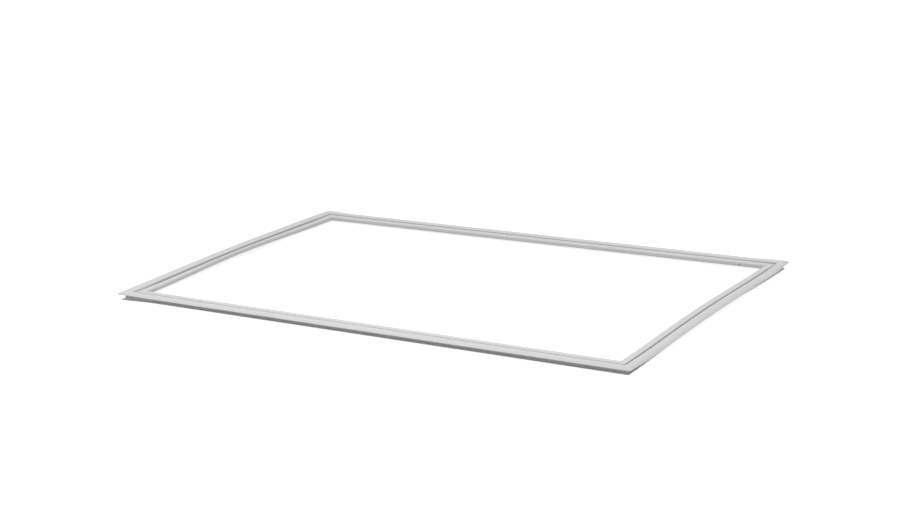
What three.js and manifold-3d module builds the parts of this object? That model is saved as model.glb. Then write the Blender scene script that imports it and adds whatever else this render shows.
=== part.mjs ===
// Refrigerator door gasket: a soft PVC sealing profile, cut to four mitred lengths, welded at the
// corners into one ring, and holding a flexible magnetic strip in the pocket of each side.
// Millimetres, +Z up, lying on its mounting foot with the sealing face up.
// The groove line is the crease between the magnet bulb and the outer lip. Every point of the
// section is given as (reach outward from the groove line, height above the surface it lies on).

import * as THREE from 'three';
import { mergeGeometries, mergeVertices } from 'three/addons/utils/BufferGeometryUtils.js';
import Module from 'manifold-3d';

// Ring, measured between the groove lines of opposite sides
const ringLength = 880;
const ringWidth = 542;

// How far the two short sides bow outward in the middle as the free ring lies there, how much
// further their foot has slid outward under the section, and how far each lip has sprung up
const bowLeft = 6.8;
const bowRight = -4.7;
const footSlideLeft = 5.2;
const footSlideRight = -4.4;
const lipRiseLeft = 6.5;
const lipRiseBack = 2.4;

// Lift of the lip's tip at each mitre, and the length of side over which it fades
const tipLiftFrontLeft = 3.7;
const tipLiftBackLeft = 4;
const tipLiftBackRight = 4.3;
const tipLiftFrontRight = -1.2;
const tipLiftLength = 60;

// Magnet bulb: the flat sealing face with the pocket under it
const faceHeight = 10.3;
const bulbReach = 12.6;
const bulbFootHeight = 3.7;
const bulbCorner = 1.2;
const faceSkin = 0.6;
const skin = 0.7;

// Groove between the bulb and the outer lip
const grooveHalfWidth = 0.9;
const grooveDepth = 1.9;

// Outer lip, an arched flap hinged at the groove
const lipReach = 16.4;
const lipEdgeHeight = 7.3;
const lipCrownReach = 7.5;
const lipCrownHeight = 11.1;
const lipThickness = 1.5;
const lipRootReach = 2.6;

// Bellows fold of the outer wall, under the lip
const foldReach = 9.4;
const foldHeight = 5;
const foldRound = 1.1;

// Mounting foot, a flat T that a retaining rail grips from both sides
const footReach = 11;
const footWidth = 11.8;
const footThickness = 1.3;
const footChamfer = 0.4;
const neckWidth = 4.4;
const neckHeight = 1.7;

// Magnetic strips, loose in their pockets and cut short of the mitres
const magnetWidth = 9.4;
const magnetThickness = 2.2;
const magnetClearance = 0.3;
const magnetEndGap = 26;

// Breather holes, punched through the inner wall at the level of the pocket's floor, so that
// each one opens both the pocket and the air chamber under it
const ventRadius = 0.9;
const ventDepth = 2.4;
const ventFromCorner = { back: 57, left: 135.5 };

// Steps of a long and of a short side, and of each curve in the section
const longSteps = 12;
const shortSteps = 14;
const curveSteps = 4;
const ventSides = 12;

const footInner = footReach - footWidth;
const neckInner = (footInner + footReach - neckWidth) / 2;
const neckOuter = neckInner + neckWidth;
const neckTop = footThickness + neckHeight;
const pocket = {
  inner: skin - bulbReach,
  outer: skin - bulbReach + magnetWidth + 2 * magnetClearance,
  top: faceHeight - faceSkin,
  floor: faceHeight - faceSkin - magnetThickness - 2 * magnetClearance,
};
const grooveFloor = faceHeight - grooveDepth;
const lip = lipArch();

const softWhite = new THREE.MeshStandardMaterial({ color: 0xdcdcdc, roughness: 0.45, metalness: 0 });
const magnetBrown = new THREE.MeshStandardMaterial({ color: 0x3a3431, roughness: 0.8, metalness: 0 });

// The sides in walking order, clockwise from above, each from corner to corner of the groove line
const sides = {
  front: {
    start: [ringLength, 0], heading: [-1, 0], length: ringLength, steps: longSteps,
    bow: 0, footSlide: 0, lipRise: 0, startLift: tipLiftFrontRight, endLift: tipLiftFrontLeft,
  },
  left: {
    start: [0, 0], heading: [0, 1], length: ringWidth, steps: shortSteps,
    bow: bowLeft, footSlide: footSlideLeft, lipRise: lipRiseLeft,
    startLift: tipLiftFrontLeft, endLift: tipLiftBackLeft,
  },
  back: {
    start: [0, ringWidth], heading: [1, 0], length: ringLength, steps: longSteps,
    bow: 0, footSlide: 0, lipRise: lipRiseBack, startLift: tipLiftBackLeft, endLift: tipLiftBackRight,
  },
  right: {
    start: [ringLength, ringWidth], heading: [0, -1], length: ringWidth, steps: shortSteps,
    bow: bowRight, footSlide: footSlideRight, lipRise: 0,
    startLift: tipLiftBackRight, endLift: tipLiftFrontRight,
  },
};

function smooth(value) {
  const t = THREE.MathUtils.clamp(value, 0, 1);
  return t * t * (3 - 2 * t);
}

// Arc of the lip's upper face: through its crown and its edge, with the crown at the top
function lipArch() {
  const across = lipReach - lipCrownReach;
  const drop = lipCrownHeight - lipEdgeHeight;
  const radius = (across * across + drop * drop) / (2 * drop);
  return {
    radius,
    centreHeight: lipCrownHeight - radius,
    edgeAngle: Math.acos(across / radius),
    shoulderAngle: Math.acos((grooveHalfWidth - lipCrownReach) / radius),
    rootAngle: Math.acos((lipRootReach - lipCrownReach) / (radius - lipThickness)),
  };
}

function addFoot(outline) {
  outline.moveTo(footInner + footChamfer, 0);
  outline.lineTo(footReach - footChamfer, 0);
  outline.lineTo(footReach, footChamfer);
  outline.lineTo(footReach, footThickness);
  outline.lineTo(neckOuter, footThickness);
  outline.lineTo(neckOuter, neckTop);
}

function addFold(outline) {
  outline.lineTo(foldReach - foldRound, foldHeight - foldRound);
  outline.quadraticCurveTo(foldReach, foldHeight, foldReach - foldRound, foldHeight + foldRound / 2);
}

function addLip(outline) {
  const middle = lip.radius - lipThickness / 2;
  const edgeReach = lipCrownReach + middle * Math.cos(lip.edgeAngle);
  const edgeHeight = lip.centreHeight + middle * Math.sin(lip.edgeAngle);
  const inner = lip.radius - lipThickness;
  outline.absarc(lipCrownReach, lip.centreHeight, inner, lip.rootAngle, lip.edgeAngle, true);
  outline.absarc(edgeReach, edgeHeight, lipThickness / 2, lip.edgeAngle - Math.PI, lip.edgeAngle, false);
  outline.absarc(lipCrownReach, lip.centreHeight, lip.radius, lip.edgeAngle, lip.shoulderAngle, false);
}

function addBulb(outline) {
  outline.lineTo(grooveHalfWidth / 2, grooveFloor);
  outline.lineTo(-grooveHalfWidth / 2, grooveFloor);
  outline.lineTo(-grooveHalfWidth, faceHeight - grooveHalfWidth / 2);
  outline.quadraticCurveTo(-grooveHalfWidth, faceHeight, -grooveHalfWidth * 1.5, faceHeight);
  outline.lineTo(bulbCorner - bulbReach, faceHeight);
  outline.quadraticCurveTo(-bulbReach, faceHeight, -bulbReach, faceHeight - bulbCorner);
  outline.lineTo(-bulbReach, bulbFootHeight + bulbCorner);
  outline.quadraticCurveTo(-bulbReach, bulbFootHeight, bulbCorner - bulbReach, bulbFootHeight);
}

function pocketHole() {
  return new THREE.Path([
    new THREE.Vector2(pocket.inner, pocket.floor),
    new THREE.Vector2(pocket.inner, pocket.top),
    new THREE.Vector2(pocket.outer, pocket.top),
    new THREE.Vector2(pocket.outer, pocket.floor),
  ]);
}

// Air chamber of the bellows: under the pocket, over the neck, and out into the fold
function chamberHole() {
  const ceiling = pocket.floor - skin;
  const overNeck = neckTop + skin;
  return new THREE.Path([
    new THREE.Vector2(pocket.inner, bulbFootHeight + skin),
    new THREE.Vector2(pocket.inner, ceiling),
    new THREE.Vector2(pocket.outer, ceiling),
    new THREE.Vector2(grooveHalfWidth, grooveFloor - 1.3 * skin),
    new THREE.Vector2(foldReach - 2.5 * skin, foldHeight),
    new THREE.Vector2(neckOuter - skin / 2, overNeck),
    new THREE.Vector2(neckInner + skin / 2, overNeck),
  ]);
}

function section() {
  const outline = new THREE.Shape();
  addFoot(outline);
  addFold(outline);
  addLip(outline);
  addBulb(outline);
  outline.lineTo(neckInner, neckTop);
  outline.lineTo(neckInner, footThickness);
  outline.lineTo(footInner, footThickness);
  outline.lineTo(footInner, footChamfer);
  outline.holes.push(pocketHole(), chamberHole());
  return outline;
}

// Share of a lip movement that reaches a section point
function lipShare(reach, height) {
  const outOnLip = smooth((reach - lipRootReach) / (lipReach - lipRootReach));
  const aboveFold = smooth((height - foldHeight - foldRound / 2) / foldRound);
  return outOnLip * aboveFold;
}

// Puts a section point on a side. Along is measured from the groove corner where the side starts,
// and a point further out starts earlier and ends later, which makes the mitres.
function onSide(side, reach, height, along) {
  const span = side.length + 2 * reach;
  const share = (along + reach) / span;
  const arch = Math.sin(Math.PI * share) ** 2;
  const slide = side.footSlide * (1 - smooth(height / faceHeight));
  const outward = reach + arch * (side.bow + slide);
  const tipLift = side.startLift * smooth(1 - share * span / tipLiftLength)
    + side.endLift * smooth(1 - (1 - share) * span / tipLiftLength);
  const [east, north] = side.heading;
  return new THREE.Vector3(
    side.start[0] + east * along - north * outward,
    side.start[1] + north * along + east * outward,
    height + lipShare(reach, height) * (tipLift + side.lipRise * arch),
  );
}

// Even steps turned into steps that are short near both mitres, where the shape changes most
function spread(step) {
  return step - 0.8 * Math.sin(2 * Math.PI * step) / (2 * Math.PI);
}

function bendOnto(geometry, place) {
  const spots = geometry.attributes.position;
  for (let i = 0; i < spots.count; i += 1) {
    const spot = place(spots.getX(i), spots.getY(i), spots.getZ(i));
    spots.setXYZ(i, spot.x, spot.y, spot.z);
  }
  return geometry;
}

function profileLength(side) {
  const settings = { depth: 1, steps: side.steps, curveSegments: curveSteps, bevelEnabled: false };
  return bendOnto(new THREE.ExtrudeGeometry(section(), settings), (reach, height, step) => {
    const along = spread(step) * (side.length + 2 * reach) - reach;
    return onSide(side, reach, height, along);
  });
}

function magnetStrip(side) {
  const outline = new THREE.Shape([
    new THREE.Vector2(pocket.inner + magnetClearance, pocket.floor + magnetClearance),
    new THREE.Vector2(pocket.outer - magnetClearance, pocket.floor + magnetClearance),
    new THREE.Vector2(pocket.outer - magnetClearance, pocket.top - magnetClearance),
    new THREE.Vector2(pocket.inner + magnetClearance, pocket.top - magnetClearance),
  ]);
  const settings = { depth: 1, steps: side.steps, bevelEnabled: false };
  return bendOnto(new THREE.ExtrudeGeometry(outline, settings), (reach, height, step) => {
    const along = magnetEndGap + step * (side.length - 2 * magnetEndGap);
    return onSide(side, reach, height, along);
  });
}

// A breather hole's core, standing through the inner wall of a side
function ventCore(side, along) {
  const core = new THREE.CylinderGeometry(ventRadius, ventRadius, 2 * ventDepth, ventSides);
  const middle = pocket.floor - skin / 2;
  const spot = onSide(side, -bulbReach, middle, along);
  const inward = onSide(side, -bulbReach - 1, middle, along).sub(spot).normalize();
  core.applyQuaternion(new THREE.Quaternion().setFromUnitVectors(new THREE.Vector3(0, 1, 0), inward));
  core.translate(spot.x, spot.y, spot.z);
  return core;
}

const wasm = await Module();
wasm.setup();

function toSolid(geometry) {
  geometry.deleteAttribute('normal');
  geometry.deleteAttribute('uv');
  const merged = mergeVertices(geometry, 1e-4);
  return new wasm.Manifold(new wasm.Mesh({
    numProp: 3,
    vertProperties: new Float32Array(merged.attributes.position.array),
    triVerts: new Uint32Array(merged.index.array),
  }));
}

function toGeometry(solid) {
  const mesh = solid.getMesh();
  const geometry = new THREE.BufferGeometry();
  geometry.setAttribute('position', new THREE.BufferAttribute(mesh.vertProperties, 3));
  geometry.setIndex(new THREE.BufferAttribute(mesh.triVerts, 1));
  geometry.computeVertexNormals();
  return geometry;
}

// The walls of a length, without the lids over its cut ends
function withoutLids(geometry) {
  const walls = geometry.groups[1];
  const bare = new THREE.BufferGeometry();
  const spots = geometry.attributes.position.array;
  const kept = spots.slice(3 * walls.start, 3 * (walls.start + walls.count));
  return bare.setAttribute('position', new THREE.BufferAttribute(kept, 3));
}

// The four lengths meet in the same points at each mitre, so their walls weld into one skin
function weldedRing() {
  const lengths = Object.values(sides).map((side) => withoutLids(profileLength(side)));
  const backVent = ventCore(sides.back, ringLength - ventFromCorner.back);
  const leftVent = ventCore(sides.left, ventFromCorner.left);
  const ring = toSolid(mergeGeometries(lengths)).subtract(toSolid(backVent)).subtract(toSolid(leftVent));
  return toGeometry(ring);
}

function named(name, geometry, material) {
  const mesh = new THREE.Mesh(geometry, material);
  mesh.name = name;
  return mesh;
}

const gasket = new THREE.Group();
gasket.add(named('sealing_profile', weldedRing(), softWhite));
for (const [name, side] of Object.entries(sides)) {
  gasket.add(named(`magnet_${name}`, magnetStrip(side), magnetBrown));
}

// The origin is under the middle of the ring, on the surface that it lies on
const box = new THREE.Box3().setFromObject(gasket);
const centre = box.getCenter(new THREE.Vector3());
gasket.position.set(-centre.x, -centre.y, -box.min.z);

export default gasket;
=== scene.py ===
# Refrigerator door gasket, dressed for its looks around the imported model: a soft PVC sealing
# profile, mitred and welded into a ring, with a flexible magnetic strip in each side's pocket.
# Metres, +Z up. A section point is (reach outward from the groove line, height above the table).

import math

import bmesh
import bpy
from mathutils import Matrix, Vector


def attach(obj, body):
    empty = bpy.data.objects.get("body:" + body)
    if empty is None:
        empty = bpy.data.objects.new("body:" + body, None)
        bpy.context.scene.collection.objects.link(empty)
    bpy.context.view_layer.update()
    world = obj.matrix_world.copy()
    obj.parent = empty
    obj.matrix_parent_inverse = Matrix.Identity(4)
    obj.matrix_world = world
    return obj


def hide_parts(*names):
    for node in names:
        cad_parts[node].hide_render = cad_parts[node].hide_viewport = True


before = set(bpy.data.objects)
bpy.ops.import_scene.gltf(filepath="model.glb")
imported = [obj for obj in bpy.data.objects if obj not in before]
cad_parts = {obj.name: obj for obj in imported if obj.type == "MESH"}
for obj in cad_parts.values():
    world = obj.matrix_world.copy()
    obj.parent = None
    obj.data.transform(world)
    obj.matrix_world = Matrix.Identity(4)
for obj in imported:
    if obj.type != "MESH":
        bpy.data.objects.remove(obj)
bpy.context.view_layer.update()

MM = 0.001

# Ring, measured between the groove lines of opposite sides, and where its middle is
RING_LENGTH = 880 * MM
RING_WIDTH = 542 * MM
RING_MIDDLE = Vector((435.822 * MM, 271.0 * MM))

# Magnet bulb, with its flat sealing face on top
FACE_HEIGHT = 10.3 * MM
BULB_REACH = 13.0 * MM
BULB_FOOT = 3.7 * MM
BULB_CORNER = 1.5 * MM
FACE_SKIN = 0.6 * MM
SKIN = 0.7 * MM

# Groove between the bulb and the lip
GROOVE_HALF = 1.4 * MM
GROOVE_DEPTH = 2.3 * MM

# Outer lip, an arched flap beside the groove, whose hinge follows its movements in part
LIP_REACH = 16.4 * MM
LIP_EDGE = 7.3 * MM
CROWN_REACH = 7.5 * MM
CROWN_HEIGHT = 11.1 * MM
LIP_THICKNESS = 1.5 * MM
ROOT_REACH = 2.9 * MM
HINGE_SHARE = 0.45

# Bellows fold, neck and mounting foot
FOLD_REACH = 9.4 * MM
FOLD_HEIGHT = 5.0 * MM
FOLD_ROUND = 1.1 * MM
FOOT_REACH = 11.0 * MM
FOOT_WIDTH = 11.8 * MM
FOOT_THICKNESS = 1.3 * MM
FOOT_CHAMFER = 0.4 * MM
NECK_WIDTH = 4.4 * MM
NECK_HEIGHT = 1.7 * MM

# Pocket of the magnetic strip
STRIP_WIDTH = 9.4 * MM
STRIP_THICKNESS = 2.2 * MM
STRIP_CLEARANCE = 0.3 * MM
STRIP_EDGE = 0.2 * MM

# Breather holes in the inner wall, each by its distance from the start of its side
VENT_RADIUS = 1.2 * MM
VENT_DEPTH = 2.4 * MM
VENT_SIDES = 32
VENT_PLACES = {"back": RING_LENGTH - 57 * MM, "left": 135.5 * MM}

# Straight runs into which curves of the section are cut
LIP_UNDER_STEPS = 18
LIP_OVER_STEPS = 22
LIP_EDGE_STEPS = 8
CORNER_STEPS = 6
BRINK_STEPS = 4
FACE_STEPS = 6

# Length of side over which a corner's pose fades into the side's own, and how much of the lip's
# pointed tip was trimmed off after welding
TIP_FADE = 60 * MM
TIP_TRIM = 1.5 * MM

# Uneven ripple that the free lip keeps from its packing: its height, and its waves in a metre
LIP_RIPPLE = 0.5 * MM
LIP_WAVES = 11.0

# Distances of the sections from each mitre, and the step between them in the middle of a side
STATIONS_NEAR = [d * MM for d in (0, 0.3, 0.6, 0.9, 1.3, 2.2, 4, 7, 11, 16, 22, 29, 37, 46, 56)]
STATION_GAP = 12 * MM

# Magnetic strips end this far short of the corners of the groove line
STRIP_END_GAP = 26 * MM

# Bead of the weld along each mitre, everywhere but under the foot
BEAD_HEIGHT = 0.22 * MM
BEAD_WIDTH = 1.1 * MM
BEAD_FROM = 0.5 * MM

# Points closer than this are one, and smooth shading breaks at edges that turn more than this
WELD_DISTANCE = 0.01 * MM
SHARP_ANGLE = math.radians(40)

# The corners' pose, as the free ring lies: the lift and the outward spread of the lip's tip, and
# the outward slide of the foot
CORNERS = {
    "front_right": dict(lift=1.4 * MM, spread=0, slide=0),
    "front_left": dict(lift=3.7 * MM, spread=4.6 * MM, slide=5.0 * MM),
    "back_left": dict(lift=4.0 * MM, spread=1.8 * MM, slide=0),
    "back_right": dict(lift=4.3 * MM, spread=0.6 * MM, slide=0),
}

# The sides in walking order, clockwise from above, each with its own pose: the bow of its middle,
# the slide of its foot, and the rise of its lip and of the bulb's inner edge
SIDES = {
    "front": dict(
        corners=("front_right", "front_left"), corner=(RING_LENGTH, 0), heading=(-1, 0),
        length=RING_LENGTH, bow=0, slide=0, rise=1.4 * MM, bulb_rise=0,
    ),
    "left": dict(
        corners=("front_left", "back_left"), corner=(0, 0), heading=(0, 1),
        length=RING_WIDTH, bow=6.8 * MM, slide=5.2 * MM, rise=6.0 * MM, bulb_rise=2.9 * MM,
    ),
    "back": dict(
        corners=("back_left", "back_right"), corner=(0, RING_WIDTH), heading=(1, 0),
        length=RING_LENGTH, bow=0, slide=0, rise=2.6 * MM, bulb_rise=0,
    ),
    "right": dict(
        corners=("back_right", "front_right"), corner=(RING_LENGTH, RING_WIDTH), heading=(0, -1),
        length=RING_WIDTH, bow=-4.7 * MM, slide=-4.4 * MM, rise=0, bulb_rise=0,
    ),
}

# Camera, fitted to the groove lines of the four sides in the photograph. Its yaw, pitch and roll
# are in degrees, its lens and sensor in millimetres.
CAMERA_TURN = (-32.546, 15.324, -2.78)
CAMERA_PLACE = (1.4979, -2.3510, 0.8157)
CAMERA_LENS = 71.92
CAMERA_SENSOR = 36
CAMERA_NEAR = 0.05

# Studio: half the floor's width, how much of the floor's white is its own glow to the camera, the
# world's light on the ring, and the lamps with their places, widths and watts
FLOOR_HALF = 6.0
FLOOR_GLOW = 0.82
WORLD_LIGHT = 0.70
LAMPS = {
    "front_softbox": dict(place=(-0.1, -0.7, 1.1), size=0.7, power=4.5),
    "right_softbox": dict(place=(1.6, 0.3, 1.2), size=0.9, power=2.5),
}

FOOT_INNER = FOOT_REACH - FOOT_WIDTH
NECK_INNER = (FOOT_INNER + FOOT_REACH - NECK_WIDTH) / 2
NECK_OUTER = NECK_INNER + NECK_WIDTH
NECK_TOP = FOOT_THICKNESS + NECK_HEIGHT
POCKET_INNER = SKIN - BULB_REACH
POCKET_OUTER = POCKET_INNER + STRIP_WIDTH + 2 * STRIP_CLEARANCE
POCKET_TOP = FACE_HEIGHT - FACE_SKIN
POCKET_FLOOR = POCKET_TOP - STRIP_THICKNESS - 2 * STRIP_CLEARANCE
GROOVE_FLOOR = FACE_HEIGHT - GROOVE_DEPTH

# Node kinds and settings that come back often
MATH = "ShaderNodeMath"
NOISE = "ShaderNodeTexNoise"
MAP_RANGE = "ShaderNodeMapRange"
ADD = {"operation": "ADD"}
SUBTRACT = {"operation": "SUBTRACT"}
MULTIPLY = {"operation": "MULTIPLY"}
MULTIPLY_ADD = {"operation": "MULTIPLY_ADD"}
MINIMUM = {"operation": "MINIMUM"}
MAXIMUM = {"operation": "MAXIMUM"}
SMOOTHSTEP = {"interpolation_type": "SMOOTHSTEP"}
COLOUR_MIX = {"data_type": "RGBA"}


def srgb(code):
    """Linear colour of a hex code."""
    parts = [int(code[i:i + 2], 16) / 255 for i in (1, 3, 5)]
    bent = [c / 12.92 if c <= 0.04045 else ((c + 0.055) / 1.055) ** 2.4 for c in parts]
    return (*bent, 1)


def add_node(tree, kind, settings=None, *values, **links):
    """Adds a node. Settings are its own fields. Values go to its first inputs in order, and links go
    to inputs by name, or by number after an underscore. Each of them is a plain value, a socket, or
    a node, which stands for its first output."""
    made = tree.nodes.new(kind)
    for field, value in (settings or {}).items():
        setattr(made, field, value)
    for key, value in [*enumerate(values), *links.items()]:
        if isinstance(key, str):
            key = int(key[1:]) if key[1:].isdigit() else key.replace("_", " ")
        if isinstance(value, bpy.types.Node):
            value = value.outputs[0]
        if isinstance(value, bpy.types.NodeSocket):
            tree.links.new(value, made.inputs[key])
        else:
            made.inputs[key].default_value = value
    return made


def add_object(name, mesh):
    """An object with the mesh, at the origin, in the scene."""
    made = bpy.data.objects.new(name, mesh)
    bpy.context.collection.objects.link(made)
    return made


def finished_mesh(work, name):
    """The plain mesh of a bmesh, which is freed."""
    mesh = bpy.data.meshes.new(name)
    work.to_mesh(mesh)
    work.free()
    return mesh


# Section of the profile


def smooth(value):
    """0 to 1 with a gentle start and end."""
    t = min(max(value, 0), 1)
    return t * t * (3 - 2 * t)


def arc(centre, radius, start, end, steps):
    turns = [start + (end - start) * i / steps for i in range(steps + 1)]
    return [(centre[0] + radius * math.cos(t), centre[1] + radius * math.sin(t)) for t in turns]


def bend(start, knee, end, steps):
    """Points of a quadratic curve, without its start."""
    points = []
    for i in range(1, steps + 1):
        t = i / steps
        points.append(tuple(
            (1 - t) ** 2 * a + 2 * t * (1 - t) * k + t * t * b for a, k, b in zip(start, knee, end)
        ))
    return points


def lip_points():
    """The lip: its underside from the root outward, its rounded edge, and its arched top back in."""
    across = LIP_REACH - CROWN_REACH
    drop = CROWN_HEIGHT - LIP_EDGE
    radius = (across ** 2 + drop ** 2) / (2 * drop)
    centre = (CROWN_REACH, CROWN_HEIGHT - radius)
    edge = math.acos(across / radius)
    shoulder = math.acos((GROOVE_HALF - CROWN_REACH) / radius)
    root = math.acos((ROOT_REACH - CROWN_REACH) / (radius - LIP_THICKNESS))
    middle = radius - LIP_THICKNESS / 2
    tip = (centre[0] + middle * math.cos(edge), centre[1] + middle * math.sin(edge))
    under = arc(centre, radius - LIP_THICKNESS, root, edge, LIP_UNDER_STEPS)
    round_edge = arc(tip, LIP_THICKNESS / 2, edge - math.pi, edge, LIP_EDGE_STEPS)
    over = arc(centre, radius, edge, shoulder, LIP_OVER_STEPS)
    return under + round_edge[1:-1] + over


def fold_points():
    """The bellows' outer fold, between the neck and the lip's root."""
    low = (FOLD_REACH - FOLD_ROUND, FOLD_HEIGHT - FOLD_ROUND)
    high = (FOLD_REACH - FOLD_ROUND, FOLD_HEIGHT + FOLD_ROUND / 2)
    return [low] + bend(low, (FOLD_REACH, FOLD_HEIGHT), high, CORNER_STEPS)


def face_points(start, end):
    """The sealing face in a few even widths, so that its lines of the die can follow it."""
    return [
        tuple(a + (b - a) * i / FACE_STEPS for a, b in zip(start, end))
        for i in range(1, FACE_STEPS + 1)
    ]


def bulb_points():
    """The groove, the sealing face, and the bulb's inner wall down to its lower corner."""
    brink = (-GROOVE_HALF, FACE_HEIGHT - GROOVE_HALF / 2)
    points = [(GROOVE_HALF / 2, GROOVE_FLOOR), (-GROOVE_HALF / 2, GROOVE_FLOOR), brink]
    rim = (-GROOVE_HALF * 1.5, FACE_HEIGHT)
    points += bend(brink, (-GROOVE_HALF, FACE_HEIGHT), rim, BRINK_STEPS)
    start = (BULB_CORNER - BULB_REACH, FACE_HEIGHT)
    points += face_points(points[-1], start)
    corner = (-BULB_REACH, FACE_HEIGHT)
    points += bend(start, corner, (-BULB_REACH, FACE_HEIGHT - BULB_CORNER), CORNER_STEPS)
    foot = (-BULB_REACH, BULB_FOOT + BULB_CORNER)
    points.append(foot)
    end = (BULB_CORNER - BULB_REACH, BULB_FOOT)
    points += bend(foot, (-BULB_REACH, BULB_FOOT), end, CORNER_STEPS)
    return points


def outline_points():
    """The section's outline, walked anticlockwise with reach to the right and height up."""
    foot = [
        (FOOT_INNER + FOOT_CHAMFER, 0), (FOOT_REACH - FOOT_CHAMFER, 0), (FOOT_REACH, FOOT_CHAMFER),
        (FOOT_REACH, FOOT_THICKNESS), (NECK_OUTER, FOOT_THICKNESS), (NECK_OUTER, NECK_TOP),
    ]
    neck = [
        (NECK_INNER, NECK_TOP), (NECK_INNER, FOOT_THICKNESS),
        (FOOT_INNER, FOOT_THICKNESS), (FOOT_INNER, FOOT_CHAMFER),
    ]
    return foot + fold_points() + lip_points() + bulb_points() + neck


def pocket_points():
    """The magnet's pocket, walked clockwise, as a hole is."""
    return [
        (POCKET_INNER, POCKET_FLOOR), (POCKET_INNER, POCKET_TOP),
        (POCKET_OUTER, POCKET_TOP), (POCKET_OUTER, POCKET_FLOOR),
    ]


def chamber_points():
    """The bellows' air chamber, walked clockwise, as a hole is."""
    ceiling = POCKET_FLOOR - SKIN
    over_neck = NECK_TOP + SKIN
    under_groove = GROOVE_FLOOR - 1.3 * SKIN
    inside_fold = FOLD_REACH - 2.5 * SKIN
    return [
        (POCKET_INNER, BULB_FOOT + SKIN), (POCKET_INNER, ceiling), (POCKET_OUTER, ceiling),
        (GROOVE_HALF, under_groove), (inside_fold, FOLD_HEIGHT),
        (NECK_OUTER - SKIN / 2, over_neck), (NECK_INNER + SKIN / 2, over_neck),
    ]


def strip_points():
    """The magnetic strip's section, with its edges just broken, walked anticlockwise."""
    low, high = POCKET_FLOOR + STRIP_CLEARANCE, POCKET_TOP - STRIP_CLEARANCE
    inner, outer = POCKET_INNER + STRIP_CLEARANCE, POCKET_OUTER - STRIP_CLEARANCE
    cut = STRIP_EDGE
    return [
        (inner + cut, low), (outer - cut, low), (outer, low + cut), (outer, high - cut),
        (outer - cut, high), (inner + cut, high), (inner, high - cut), (inner, low + cut),
    ]


# Shares of a section point in the movements of a side


def on_lip(reach, height):
    """How far a section point belongs to the lip, above a line from the hinge to the neck."""
    slope = (NECK_TOP - GROOVE_FLOOR + SKIN) / (LIP_REACH - ROOT_REACH)
    divide = GROOVE_FLOOR - SKIN + slope * (reach - ROOT_REACH)
    return smooth((height - divide) / (2 * SKIN))


def lip_share(reach, height):
    """Share of a lip movement: part of it at the groove's outer wall, all of it at the edge."""
    hinge = HINGE_SHARE * smooth(2 * reach / GROOVE_HALF - 1)
    out = min(max((reach - GROOVE_HALF) / (LIP_REACH - GROOVE_HALF), 0), 1)
    return (hinge + (1 - HINGE_SHARE) * out) * on_lip(reach, height)


def bulb_share(reach, height):
    """Share of the bulb's rise, which grows from the groove to the inner wall."""
    over_foot = smooth((height - FOOT_THICKNESS) / (BULB_FOOT - FOOT_THICKNESS))
    return min(max(-reach / BULB_REACH, 0), 1) * over_foot


def slide_share(reach, height):
    """Share of the foot's slide: all of it at the foot, none on the bulb's wall and on the lip."""
    out = smooth((reach + BULB_REACH) / (BULB_REACH + FOOT_INNER))
    return out * (1 - min(height / POCKET_FLOOR, 1) ** 2) * (1 - on_lip(reach, height))


def groove_shade_share(reach, height):
    """How far a section point lies inside the groove, which the colour darkens there as painted
    shade.
    """
    rim = GROOVE_HALF / 2
    inside = 1 - smooth((abs(reach) - GROOVE_HALF) / rim)
    over_floor = smooth(height / GROOVE_FLOOR * 4 - 3)
    return inside * smooth((FACE_HEIGHT - height) / rim) * over_floor


SHARES = {"lip": lip_share, "slide": slide_share, "bulb": bulb_share, "groove": groove_shade_share}


# Straight lengths of profile, and the bending of each onto its side


def stations(length):
    """Shares of a side at which the section is placed, close together near both mitres."""
    ends = [distance / length for distance in STATIONS_NEAR]
    count = round((1 - 2 * ends[-1]) * length / STATION_GAP)
    middle = [ends[-1] + (1 - 2 * ends[-1]) * i / count for i in range(1, count)]
    return ends + middle + [1 - e for e in reversed(ends)]


def section_normals(points):
    """Outward normal of the section at each of its points."""
    found = []
    for i, here in enumerate(points):
        before = Vector(here) - Vector(points[i - 1])
        after = Vector(points[(i + 1) % len(points)]) - Vector(here)
        way = before.normalized() + after.normalized()
        found.append(Vector((way.y, -way.x)).normalized())
    return found


def girths(points):
    """Distance walked round the section at each of its points, and back at the first."""
    walked = [0]
    for a, b in zip(points, points[1:] + points[:1]):
        walked.append(walked[-1] + (Vector(b) - Vector(a)).length)
    return walked


def straight_length(name, loops, shares, length):
    """A side's profile, not yet bent: x is reach, y is height, and z is the share of the side."""
    work = bmesh.new()
    layers = {key: work.verts.layers.float.new(key) for key in SHARES}
    normal = work.verts.layers.float_vector.new("section_normal")
    uv = work.loops.layers.uv.new("profile")
    for points in loops:
        girth = girths(points)
        normals = section_normals(points)
        rows = []
        for share in shares:
            row = []
            for (reach, height), way in zip(points, normals):
                spot = work.verts.new((reach, height, share))
                for key, movement in SHARES.items():
                    spot[layers[key]] = movement(reach, height)
                spot[normal] = (way.x, way.y, 0) if height > BEAD_FROM else (0, 0, 0)
                row.append(spot)
            rows.append(row)
        for r in range(len(rows) - 1):
            for i in range(len(points)):
                j = (i + 1) % len(points)
                face = work.faces.new((rows[r][i], rows[r][j], rows[r + 1][j], rows[r + 1][i]))
                places = ((r, i), (r, i + 1), (r + 1, i + 1), (r + 1, i))
                for corner, (along, across) in zip(face.loops, places):
                    corner[uv].uv = (shares[along] * length, girth[across])
    if shares[0] > 0:
        bmesh.ops.holes_fill(work, edges=[e for e in work.edges if e.is_boundary])
        bmesh.ops.recalc_face_normals(work, faces=work.faces)
    return finished_mesh(work, name)


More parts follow.
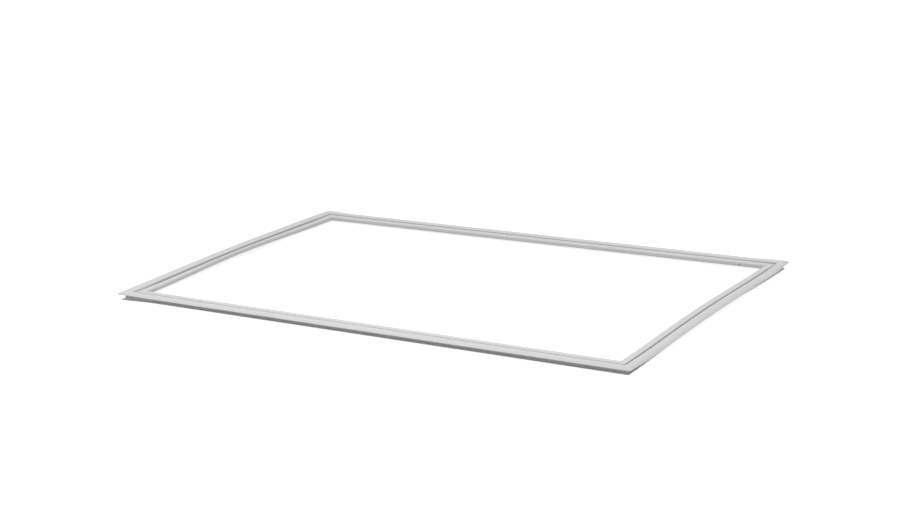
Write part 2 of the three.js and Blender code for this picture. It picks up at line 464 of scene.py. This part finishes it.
# Attributes that the bending reads, and its inputs: plain numbers first, then the rest
STORED = {"lip": "FLOAT", "slide": "FLOAT", "bulb": "FLOAT", "section_normal": "FLOAT_VECTOR"}
SIDE_NUMBERS = (
    "Length", "Bow", "Foot slide", "Lip rise", "Bulb rise", "Start lift", "Start spread",
    "Start slide", "End lift", "End spread", "End slide", "Tip fade", "Tip trim", "Bead height",
    "Bead width", "Ripple",
)
SIDE_INPUTS = {
    **{label: "NodeSocketFloat" for label in SIDE_NUMBERS}, "Corner": "NodeSocketVector",
    "Heading": "NodeSocketVector", "Outward": "NodeSocketVector", "Material": "NodeSocketMaterial",
}


def side_tree():
    """Nodes that bend a straight length onto its side, with the side's pose as inputs."""
    tree = bpy.data.node_groups.new("gasket_side", "GeometryNodeTree")
    tree.interface.new_socket("Geometry", in_out="INPUT", socket_type="NodeSocketGeometry")
    for label, kind in SIDE_INPUTS.items():
        tree.interface.new_socket(label, in_out="INPUT", socket_type=kind)
    tree.interface.new_socket("Geometry", in_out="OUTPUT", socket_type="NodeSocketGeometry")
    given = add_node(tree, "NodeGroupInput").outputs
    stored = {
        name: add_node(tree, "GeometryNodeInputNamedAttribute", {"data_type": kind}, Name=name)
        for name, kind in STORED.items()
    }
    straight = add_node(tree, "GeometryNodeInputPosition")
    reach, height, share = add_node(tree, "ShaderNodeSeparateXYZ", None, straight).outputs

    # Distances from the two mitres, as long as the side is at this reach, and the middle's swell
    span = add_node(tree, MATH, MULTIPLY_ADD, reach, 2.0, given["Length"])
    from_start = add_node(tree, MATH, MULTIPLY, share, span)
    from_end = add_node(tree, MATH, SUBTRACT, span, from_start)
    from_mitre = add_node(tree, MATH, MINIMUM, from_start, from_end)
    half_turn = add_node(tree, MATH, MULTIPLY, share, math.pi)
    swing = add_node(tree, MATH, {"operation": "SINE"}, half_turn)
    arch = add_node(tree, MATH, MULTIPLY, swing, swing)

    # Each is 1 at no distance and falls smoothly to 0 at its width
    trim_width = add_node(tree, MATH, MULTIPLY, given["Tip trim"], 2.0)
    near = {
        key: add_node(tree, MAP_RANGE, SMOOTHSTEP, distance, 0.0, width, 1.0, 0.0)
        for key, distance, width in (
            ("start", from_start, given["Tip fade"]), ("end", from_end, given["Tip fade"]),
            ("trim", from_mitre, trim_width), ("bead", from_mitre, given["Bead width"]),
        )
    }

    # Weld bead, along the section's own normal
    bead = add_node(tree, MATH, MULTIPLY, near["bead"], given["Bead height"])
    normal = add_node(tree, "ShaderNodeSeparateXYZ", None, stored["section_normal"]).outputs
    proud_reach = add_node(tree, MATH, MULTIPLY_ADD, normal[0], bead, reach)
    proud_height = add_node(tree, MATH, MULTIPLY_ADD, normal[1], bead, height)

    # The side's own pose gives way to the corners' near the mitres
    wave_form = {"noise_dimensions": "1D"}
    wave = add_node(tree, NOISE, wave_form, W=from_start, Scale=LIP_WAVES, Detail=2.0)
    centred = add_node(tree, MATH, SUBTRACT, wave, 0.5)
    ripple = add_node(tree, MATH, MULTIPLY, centred, given["Ripple"])
    rise = add_node(tree, MATH, ADD, given["Lip rise"], ripple)
    past_start = add_node(tree, MATH, SUBTRACT, 1.0, near["start"])
    between = add_node(tree, MATH, SUBTRACT, past_start, near["end"])
    pose = {}
    for key, own in (("spread", 0.0), ("slide", 0.0), ("lift", rise)):
        kept = add_node(tree, MATH, MULTIPLY, own, between)
        started = add_node(tree, MATH, MULTIPLY_ADD, given[f"Start {key}"], near["start"], kept)
        pose[key] = add_node(tree, MATH, MULTIPLY_ADD, given[f"End {key}"], near["end"], started)

    # Place along the side and outward, with the mitres kept at 45 degrees
    trimmed = add_node(tree, MATH, MULTIPLY, near["trim"], given["Tip trim"])
    spread = add_node(tree, MATH, SUBTRACT, pose["spread"], trimmed)
    foot = add_node(tree, MATH, MULTIPLY, pose["slide"], stored["slide"])
    footed = add_node(tree, MATH, ADD, proud_reach, foot)
    wide = add_node(tree, MATH, MULTIPLY_ADD, spread, stored["lip"], footed)
    wide_span = add_node(tree, MATH, MULTIPLY_ADD, wide, 2.0, given["Length"])
    travelled = add_node(tree, MATH, MULTIPLY, share, wide_span)
    along = add_node(tree, MATH, SUBTRACT, travelled, wide)
    sway = add_node(tree, MATH, MULTIPLY_ADD, given["Foot slide"], stored["slide"], given["Bow"])
    outward = add_node(tree, MATH, MULTIPLY_ADD, arch, sway, wide)

    # Height, with the lip's lift and the bulb's rise
    lip_top = add_node(tree, MATH, MULTIPLY_ADD, stored["lip"], pose["lift"], proud_height)
    bulb_rise = add_node(tree, MATH, MULTIPLY, arch, given["Bulb rise"])
    top = add_node(tree, MATH, MULTIPLY_ADD, stored["bulb"], bulb_rise, lip_top)

    place = given["Corner"]
    for way, amount in ((given["Heading"], along), (given["Outward"], outward), ((0, 0, 1), top)):
        place = add_node(tree, "ShaderNodeVectorMath", MULTIPLY_ADD, way, amount, place)
    moved = add_node(
        tree, "GeometryNodeSetPosition", Geometry=given["Geometry"], Position=place,
    )
    real = add_node(tree, "GeometryNodeRealizeInstances", Geometry=moved)
    finished = add_node(
        tree, "GeometryNodeSetMaterial", Geometry=real, Material=given["Material"],
    )
    add_node(tree, "NodeGroupOutput", None, finished)
    return tree


def bent(mesh, side, tree, material):
    """A straight length as a plain mesh on its side of the ring."""
    holder = add_object(mesh.name, mesh)
    east, north = side["heading"]
    corner = Vector(side["corner"]) - RING_MIDDLE
    start, end = (CORNERS[key] for key in side["corners"])
    values = {
        "Length": side["length"], "Bow": side["bow"], "Foot slide": side["slide"],
        "Lip rise": side["rise"], "Bulb rise": side["bulb_rise"],
        "Start lift": start["lift"], "Start spread": start["spread"], "Start slide": start["slide"],
        "End lift": end["lift"], "End spread": end["spread"], "End slide": end["slide"],
        "Tip fade": TIP_FADE, "Tip trim": TIP_TRIM, "Ripple": LIP_RIPPLE,
        "Bead height": BEAD_HEIGHT, "Bead width": BEAD_WIDTH, "Corner": (corner.x, corner.y, 0),
        "Heading": (east, north, 0), "Outward": (-north, east, 0), "Material": material,
    }
    modifier = holder.modifiers.new("bend", "NODES")
    modifier.node_group = tree
    for item in tree.interface.items_tree:
        if item.in_out == "INPUT" and item.name in values:
            modifier[item.identifier] = values[item.name]
    holder.update_tag()
    seen = holder.evaluated_get(bpy.context.evaluated_depsgraph_get())
    made = bpy.data.meshes.new_from_object(seen)
    bpy.data.objects.remove(holder)
    return made


def magnet_strip(name, side, tree, material):
    """A side's magnetic strip, short of the mitres and closed at both ends."""
    length = side["length"]
    ends = STRIP_END_GAP / length
    count = round((length - 2 * STRIP_END_GAP) / STATION_GAP)
    shares = [ends + (1 - 2 * ends) * i / count for i in range(count + 1)]
    straight = straight_length(f"strip_{name}", [strip_points()], shares, length)
    return add_object(f"magnet_strip_{name}", bent(straight, side, tree, material))


def vent_cutter(name, side, along):
    """A round bar through the inner wall of a side, at the level of the pocket's floor."""
    east, north = side["heading"]
    out = Vector((-north, east, 0))
    share = (along - BULB_REACH) / (side["length"] - 2 * BULB_REACH)
    bow = side["bow"] * math.sin(math.pi * share) ** 2
    corner = Vector((*(Vector(side["corner"]) - RING_MIDDLE), 0))
    spot = corner + Vector((east, north, 0)) * along + out * (bow - BULB_REACH)
    spot.z = POCKET_FLOOR - SKIN / 2
    turn = out.to_track_quat("Z", "Y").to_matrix().to_4x4()
    work = bmesh.new()
    bmesh.ops.create_cone(
        work, cap_ends=True, segments=VENT_SIDES, radius1=VENT_RADIUS, radius2=VENT_RADIUS,
        depth=2 * VENT_DEPTH, matrix=Matrix.Translation(spot) @ turn,
    )
    return add_object(name, finished_mesh(work, name))


def punch_vents(ring):
    """Breather holes, cut into the ring one by one."""
    for name, along in VENT_PLACES.items():
        cutter = vent_cutter(f"vent_{name}", SIDES[name], along)
        cut = ring.modifiers.new("vent", "BOOLEAN")
        cut.operation = "DIFFERENCE"
        cut.solver = "EXACT"
        cut.object = cutter
        seen = ring.evaluated_get(bpy.context.evaluated_depsgraph_get())
        ring.data = bpy.data.meshes.new_from_object(seen)
        ring.modifiers.remove(cut)
        bpy.data.objects.remove(cutter)


def sharpen(mesh):
    """Smooth shading, broken at the section's sharp edges."""
    work = bmesh.new()
    work.from_mesh(mesh)
    for face in work.faces:
        face.smooth = True
    for edge in work.edges:
        if len(edge.link_faces) == 2:
            edge.smooth = edge.calc_face_angle(0) < SHARP_ANGLE
    work.to_mesh(mesh)
    work.free()


def welded_ring(tree, material):
    """The four sides welded into one skin, with the pocket and the chamber running through."""
    work = bmesh.new()
    loops = [outline_points(), pocket_points(), chamber_points()]
    for name, side in SIDES.items():
        length = side["length"]
        straight = straight_length(f"side_{name}", loops, stations(length), length)
        work.from_mesh(bent(straight, side, tree, material))
    bmesh.ops.remove_doubles(work, verts=work.verts, dist=WELD_DISTANCE)
    mesh = finished_mesh(work, "sealing_profile_soft")
    mesh.materials.append(material)
    ring = add_object("sealing_profile_soft", mesh)
    punch_vents(ring)
    sharpen(ring.data)
    return ring


# Materials


def new_material(name):
    """An empty material with its tree and its one shader."""
    material = bpy.data.materials.new(name)
    material.use_nodes = True
    tree = material.node_tree
    tree.nodes.clear()
    shader = add_node(tree, "ShaderNodeBsdfPrincipled")
    add_node(tree, "ShaderNodeOutputMaterial", Surface=shader)
    return material, tree, shader


def soft_pvc():
    """Plasticised PVC, extruded: off-white and satin, with faint lines left by the die along its
    length, a slightly uneven tone, and painted shade darkening the groove to grey."""
    material, tree, shader = new_material("soft_pvc_extruded")
    place = add_node(tree, "ShaderNodeTexCoord").outputs["Object"]
    profile = add_node(tree, "ShaderNodeUVMap", {"uv_map": "profile"})
    # Die lines every 0.5 mm round the section, drawn out to some 170 mm along the extrusion
    drawn = add_node(tree, "ShaderNodeMapping", Vector=profile, Scale=(6.0, 2000.0, 1.0))
    lines = add_node(tree, NOISE, {"noise_dimensions": "2D"}, Vector=drawn, Scale=1.0, Detail=2.0)
    # Tone drifts over some 60 mm, as the batch and handling leave it
    drift = add_node(tree, NOISE, Vector=place, Scale=16.0, Detail=3.0)
    tone = add_node(tree, "ShaderNodeMix", COLOUR_MIX, drift, _6=srgb("#D8D8D8"), _7=srgb("#DEDEDD"))
    shade = add_node(tree, MAP_RANGE, None, lines, 0.3, 0.7, 0.975, 1.0)
    scaling = {"operation": "SCALE"}
    lined = add_node(tree, "ShaderNodeVectorMath", scaling, tone.outputs[2], Scale=shade)
    # Painted shade: the groove's recess is mixed towards grey in the colour, standing in for the
    # shade that falls inside it
    groove = add_node(tree, "ShaderNodeAttribute", {"attribute_name": "groove"}).outputs["Fac"]
    groove_shaded = add_node(tree, "ShaderNodeMix", COLOUR_MIX, groove, _6=lined, _7=srgb("#BABAB8"))
    tree.links.new(groove_shaded.outputs[2], shader.inputs["Base Color"])
    gloss = add_node(tree, MAP_RANGE, None, drift, 0.3, 0.7, 0.50, 0.60)
    tree.links.new(gloss.outputs[0], shader.inputs["Roughness"])
    shader.inputs["IOR"].default_value = 1.53
    shader.inputs["Specular IOR Level"].default_value = 0.3
    bump = add_node(tree, "ShaderNodeBump", Strength=0.25, Distance=0.05 * MM, Height=lines)
    tree.links.new(bump.outputs[0], shader.inputs["Normal"])
    return material


def magnet_rubber():
    """Rubber filled with ferrite powder and calendered flat: dark brown and matt, with a fine
    grain."""
    material, tree, shader = new_material("ferrite_rubber_calendered")
    place = add_node(tree, "ShaderNodeTexCoord").outputs["Object"]
    # Grains of 0.4 mm, coarser than the powder so that they show
    grain = add_node(tree, NOISE, Vector=place, Scale=2500.0, Detail=2.0)
    tone = add_node(tree, "ShaderNodeMix", COLOUR_MIX, grain, _6=srgb("#332C28"), _7=srgb("#46403B"))
    tree.links.new(tone.outputs[2], shader.inputs["Base Color"])
    shader.inputs["Roughness"].default_value = 0.8
    bump = add_node(tree, "ShaderNodeBump", Strength=0.3, Distance=0.04 * MM, Height=grain)
    tree.links.new(bump.outputs[0], shader.inputs["Normal"])
    return material


def white_rays(tree):
    """1 for the rays that see the background as plain white: camera, glossy and transmission."""
    rays = add_node(tree, "ShaderNodeLightPath").outputs
    seen = add_node(tree, MATH, MAXIMUM, rays["Is Camera Ray"], rays["Is Glossy Ray"])
    return add_node(tree, MATH, MAXIMUM, seen, rays["Is Transmission Ray"])


def sweep_paper():
    """Seamless white sheet. To the eye it is plain white, and it keeps the ring's soft shadow."""
    material, tree, shader = new_material("white_sweep_paper")
    shader.inputs["Base Color"].default_value = srgb("#A8A8A8")
    shader.inputs["Roughness"].default_value = 0.9
    shader.inputs["Emission Color"].default_value = (1, 1, 1, 1)
    glow = add_node(tree, MATH, MULTIPLY, white_rays(tree), FLOOR_GLOW)
    tree.links.new(glow.outputs[0], shader.inputs["Emission Strength"])
    return material


# Studio


def add_camera():
    """The photograph's view."""
    yaw, pitch, roll = (math.radians(a) for a in CAMERA_TURN)
    level_ahead = Vector((math.sin(yaw), math.cos(yaw), 0))
    ahead = level_ahead * math.cos(pitch) - Vector((0, 0, math.sin(pitch)))
    level = Vector((math.cos(yaw), -math.sin(yaw), 0))
    upright = level.cross(ahead)
    right = level * math.cos(roll) + upright * math.sin(roll)
    up = upright * math.cos(roll) - level * math.sin(roll)
    turn = Matrix((right, up, -ahead)).transposed().to_4x4()
    data = bpy.data.cameras.new("camera")
    data.sensor_width = CAMERA_SENSOR
    data.lens = CAMERA_LENS
    data.clip_start = CAMERA_NEAR
    camera = add_object("camera", data)
    camera.matrix_world = Matrix.Translation(CAMERA_PLACE) @ turn
    bpy.context.scene.camera = camera


def add_floor():
    far = FLOOR_HALF
    corners = [(-far, -far, 0), (far, -far, 0), (far, far, 0), (-far, far, 0)]
    mesh = bpy.data.meshes.new("floor")
    mesh.from_pydata(corners, [], [(0, 1, 2, 3)])
    mesh.materials.append(sweep_paper())
    add_object("floor", mesh)


def add_world():
    """Even light all round, which the camera sees as plain white."""
    world = bpy.data.worlds.new("studio")
    world.use_nodes = True
    tree = world.node_tree
    tree.nodes.clear()
    glow = add_node(tree, MAP_RANGE, None, white_rays(tree), To_Min=WORLD_LIGHT, To_Max=1.0)
    sky = add_node(tree, "ShaderNodeBackground", Color=(1, 1, 1, 1), Strength=glow)
    add_node(tree, "ShaderNodeOutputWorld", None, sky)
    bpy.context.scene.world = world


def add_lamp(name, place, size, power):
    """A round softbox, turned to the ring's middle."""
    data = bpy.data.lights.new(name, "AREA")
    data.shape = "DISK"
    data.size = size
    data.energy = power
    lamp = add_object(name, data)
    lamp.location = place
    lamp.rotation_euler = (-Vector(place)).to_track_quat("-Z", "Y").to_euler()


def add_studio():
    add_camera()
    add_floor()
    add_world()
    for name, lamp in LAMPS.items():
        add_lamp(name, **lamp)
    bpy.context.scene.view_settings.view_transform = "Standard"


add_studio()

bending = side_tree()
ring = welded_ring(bending, soft_pvc())
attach(ring, "root")
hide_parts("sealing_profile")

ferrite = magnet_rubber()
for name, side in SIDES.items():
    strip = magnet_strip(name, side, bending, ferrite)
    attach(strip, "root")
    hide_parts(f"magnet_{name}")
